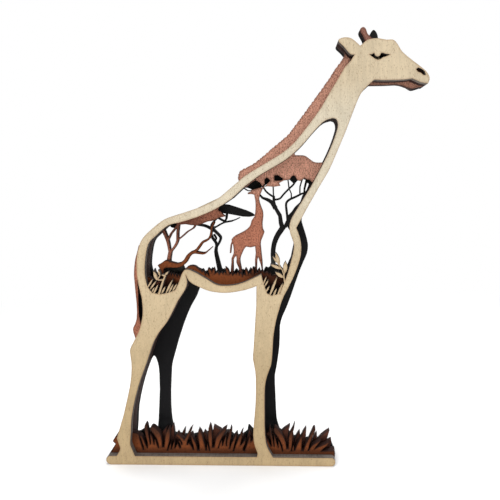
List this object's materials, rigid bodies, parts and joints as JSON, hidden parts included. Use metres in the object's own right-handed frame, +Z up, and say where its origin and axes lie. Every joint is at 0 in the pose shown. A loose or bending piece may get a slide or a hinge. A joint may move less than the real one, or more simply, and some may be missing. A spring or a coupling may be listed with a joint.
{
  "type": "layered plywood giraffe figure",
  "caption": "Standing giraffe figure of layered laser-cut plywood on a long foot, its open body framing a savanna scene of trees, grass and a small giraffe.",
  "frame": {"origin": "bottom centre of the figure's bounding box, on the surface it stands on", "axes": "+X along the giraffe, towards its nose; +Y from the birch front sheet towards the black back sheet; +Z up"},
  "size_m": [0.1857, 0.02, 0.2479],
  "materials": {
    "birch_plywood": "bare sanded birch veneer with laser-darkened edges",
    "brown_plywood": "saddle-brown stain, satin, with dark edges",
    "copper_plywood": "copper metallic paint with a fine sparkle, dark edges",
    "black_plywood": "black satin stain",
    "wood_glue": "dried wood glue, cream, not seen from outside"
  },
  "bodies": {
    "root": {"front_birch_sheet": "birch_plywood", "brown_savanna_sheet": "brown_plywood", "copper_scene_sheet": "copper_plywood", "black_back_sheet": "black_plywood", "front_glue_film": "wood_glue", "middle_glue_film": "wood_glue", "back_glue_film": "wood_glue"}
  },
  "joints": []
}
